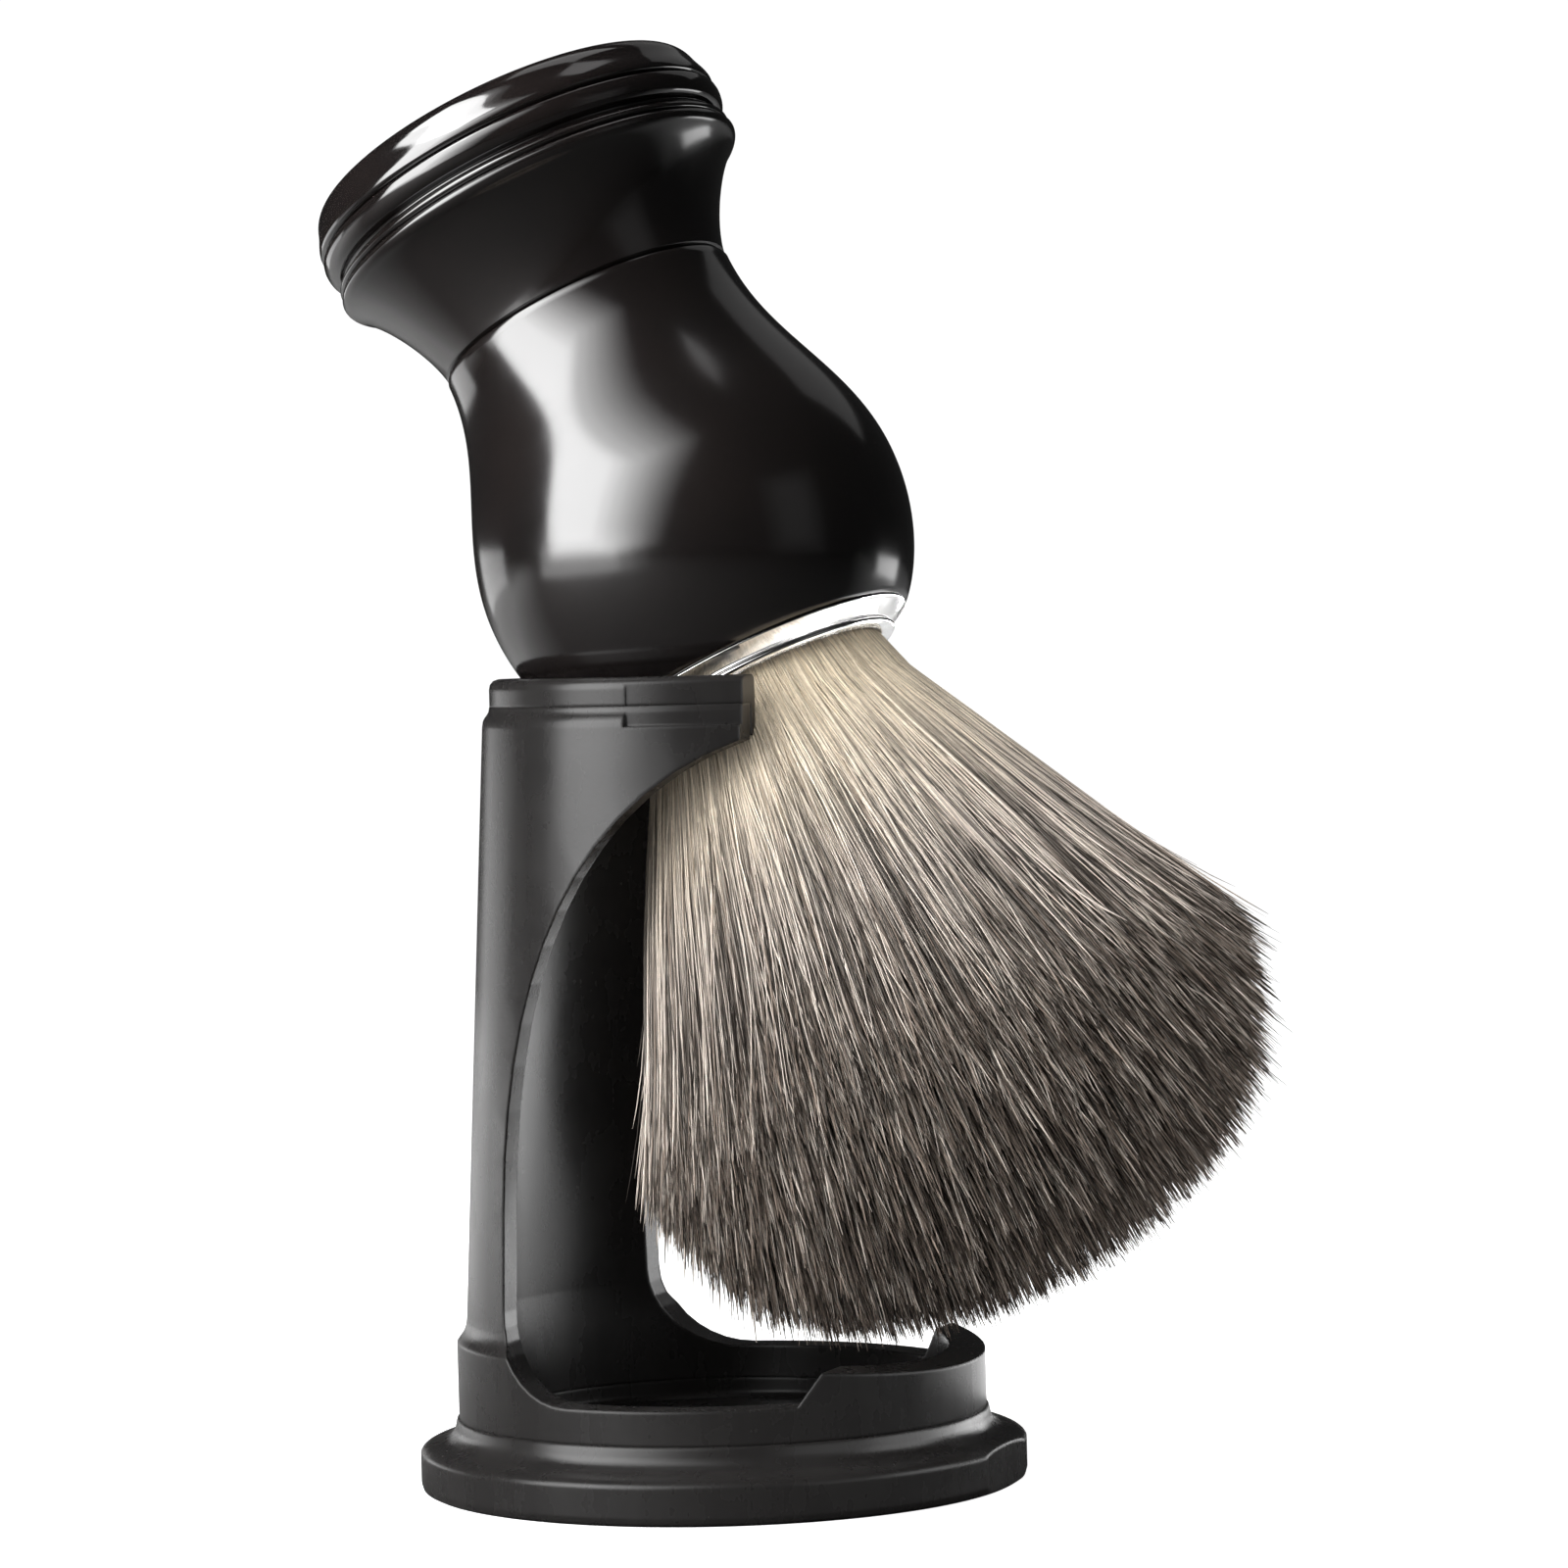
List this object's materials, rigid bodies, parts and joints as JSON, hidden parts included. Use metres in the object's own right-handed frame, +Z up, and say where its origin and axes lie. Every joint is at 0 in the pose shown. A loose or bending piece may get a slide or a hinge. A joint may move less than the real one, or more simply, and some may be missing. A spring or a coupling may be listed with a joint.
{
  "type": "shaving brush with stand",
  "caption": "Shaving brush with a waisted black handle, chrome collar and splayed hair, hanging hair-down in an open-fronted black stand.",
  "frame": {"origin": "centre of the stand's underside, on the surface it stands on", "axes": "+Z up along the stand; +X towards the stand's open front, where the hair leans out; +Y towards the stand's left"},
  "size_m": [0.0786, 0.0528, 0.1191],
  "materials": {
    "stand_plastic": "satin black moulded plastic",
    "pad_rubber": "soft anti-slip sheet",
    "handle_resin": "polished black resin",
    "chrome": "polished chrome plate",
    "steel": "turned steel",
    "cup_plastic": "plain moulded",
    "resin": "set glue",
    "hair": "cream roots, dark grey-brown ends, pale tips"
  },
  "bodies": {
    "stand": {"base_pad": "pad_rubber", "stand_foot": "stand_plastic", "stand_shell": "stand_plastic", "stand_collar": "stand_plastic"},
    "brush": {"end_cap": "handle_resin", "cap_band": "handle_resin", "handle_neck": "handle_resin", "handle_bulb": "handle_resin", "joining_stud": "steel", "handle_weight": "steel", "chrome_collar": "chrome", "knot_cup": "cup_plastic", "knot_resin": "resin", "hair_knot": "hair"}
  },
  "joints": [
    {"name": "brush_lift", "type": "slide", "parent": "stand", "child": "brush", "axis": [0.866, 0, 0.5], "range_m": [0, 0.075]}
  ]
}
